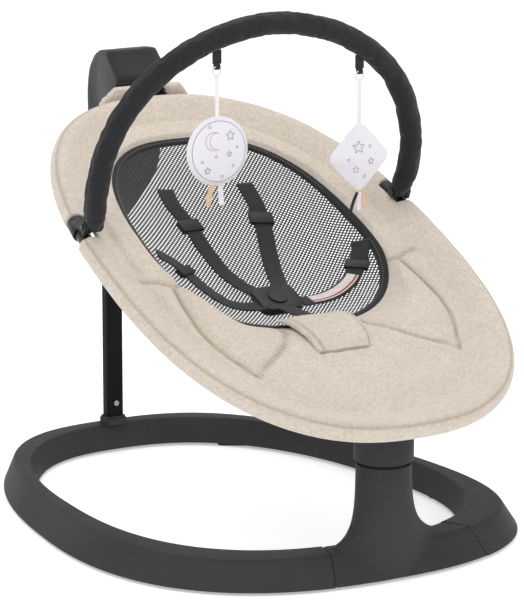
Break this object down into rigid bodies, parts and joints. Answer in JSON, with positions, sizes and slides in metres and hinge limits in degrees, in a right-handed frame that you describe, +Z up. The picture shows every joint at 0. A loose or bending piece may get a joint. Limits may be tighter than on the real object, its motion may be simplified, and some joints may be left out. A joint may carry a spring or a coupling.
{
  "type": "baby bouncer seat",
  "caption": "Reclined oval baby bouncer seat that sways between a front column and a rear post on an egg-shaped floor ring, with folding toy bar and harness.",
  "frame": {"origin": "on the floor, under the middle of the whole object's bounding box", "axes": "+Z up, -Y towards the foot end and the front column, +Y towards the head end and the rear post, +X to the left of a seated baby"},
  "size_m": [0.6194, 0.8675, 0.6915],
  "materials": {
    "charcoal_plastic": "satin moulded, fine texture",
    "black_plastic": "satin moulded",
    "black_metal": "powder coated",
    "steel": "zinc plated",
    "rubber": "matt",
    "beige_fabric": "woven melange, padded",
    "black_fabric": "plain weave",
    "black_mesh": "open knitted mesh",
    "black_webbing": "ribbed woven webbing",
    "white_fabric": "soft plain",
    "white_plastic": "gloss"
  },
  "bodies": {
    "base": {"base_rear_arc": "charcoal_plastic", "base_left_arc": "charcoal_plastic", "base_right_arc": "charcoal_plastic", "front_housing": "charcoal_plastic", "splice_plugs": "black_plastic", "base_screws": "steel", "base_feet": "rubber", "collar": "charcoal_plastic", "front_bearing_block": "black_plastic", "front_bushes": "rubber", "post_shoe": "charcoal_plastic", "rear_post": "black_metal", "snap_spring": "steel", "rear_arm": "black_metal", "rear_bearing_block": "black_plastic", "rear_bushes": "rubber", "rear_hood": "black_fabric"},
    "snap_pin": {"post_snap_pin": "steel"},
    "seat": {"seat_tube_head": "steel", "seat_tube_foot": "steel", "tube_joiners": "steel", "front_bracket": "black_metal", "front_pivot_pin": "steel", "rear_bracket": "black_metal", "rear_pivot_pin": "steel", "head_tab": "beige_fabric", "rim_cover_head": "beige_fabric", "rim_cover_foot": "beige_fabric", "head_panel": "beige_fabric", "front_panel": "beige_fabric", "wing_left": "beige_fabric", "wing_right": "beige_fabric", "mesh_panel": "black_mesh", "mesh_binding": "black_fabric", "crotch_bridge": "beige_fabric", "bar_bracket_left": "black_plastic", "bar_bracket_right": "black_plastic", "bar_pivot_pins": "steel", "shoulder_strap_left": "black_webbing", "shoulder_strap_right": "black_webbing", "waist_strap_left": "black_webbing", "waist_strap_right": "black_webbing", "crotch_strap": "black_webbing", "buckle_body": "black_plastic", "buckle_spring": "steel"},
    "buckle_release": {"buckle_button": "black_plastic"},
    "shoulder_slide_left": {"shoulder_adjuster_left": "black_plastic"},
    "shoulder_slide_right": {"shoulder_adjuster_right": "black_plastic"},
    "waist_slide_left": {"waist_adjuster_left": "black_plastic"},
    "waist_slide_right": {"waist_adjuster_right": "black_plastic"},
    "toy_bar": {"toy_bar_tube": "steel", "toy_bar_sleeve": "black_fabric", "bar_hubs": "black_plastic", "toy_bar_loops": "black_fabric"},
    "hanging_disc": {"round_toy": "white_fabric", "round_toy_hanger": "white_plastic"},
    "hanging_diamond": {"diamond_toy": "white_fabric", "diamond_toy_hanger": "white_plastic"}
  },
  "joints": [
    {"name": "seat_sway", "type": "hinge", "parent": "base", "child": "seat", "pos_m": [0, -0.3467, 0.212], "axis": [0, 0.8838, 0.4679], "range_deg": [-6, 6], "stiffness_Nm_per_rad": 20},
    {"name": "post_release", "type": "slide", "parent": "base", "child": "snap_pin", "axis": [0, 1, 0], "range_m": [0, 0.003], "stiffness_N_per_m": 800, "deforming": ["snap_spring"]},
    {"name": "buckle_press", "type": "slide", "parent": "seat", "child": "buckle_release", "axis": [0, 0.4199, -0.9076], "range_m": [0, 0.003], "stiffness_N_per_m": 600, "deforming": ["buckle_spring"]},
    {"name": "shoulder_adjust_left", "type": "slide", "parent": "seat", "child": "shoulder_slide_left", "axis": [0.1149, -0.8096, -0.5756], "range_m": [-0.006, 0.006]},
    {"name": "shoulder_adjust_right", "type": "slide", "parent": "seat", "child": "shoulder_slide_right", "axis": [-0.2168, -0.7899, -0.5737], "range_m": [-0.006, 0.006]},
    {"name": "waist_adjust_left", "type": "slide", "parent": "seat", "child": "waist_slide_left", "axis": [0.4267, -0.7217, -0.5451], "range_m": [-0.004, 0.004]},
    {"name": "waist_adjust_right", "type": "slide", "parent": "seat", "child": "waist_slide_right", "axis": [-0.6214, -0.5756, -0.5315], "range_m": [-0.004, 0.004]},
    {"name": "toy_bar_fold", "type": "hinge", "parent": "seat", "child": "toy_bar", "pos_m": [0, -0.0133, 0.4219], "axis": [1, 0, 0], "range_deg": [-45, 45]},
    {"name": "disc_swing", "type": "hinge", "parent": "toy_bar", "child": "hanging_disc", "pos_m": [-0.08319, -0.07216, 0.62615], "axis": [1, 0, 0], "range_deg": [-30, 30]},
    {"name": "diamond_swing", "type": "hinge", "parent": "toy_bar", "child": "hanging_diamond", "pos_m": [0.13834, -0.06757, 0.60188], "axis": [1, 0, 0], "range_deg": [-30, 30]}
  ]
}
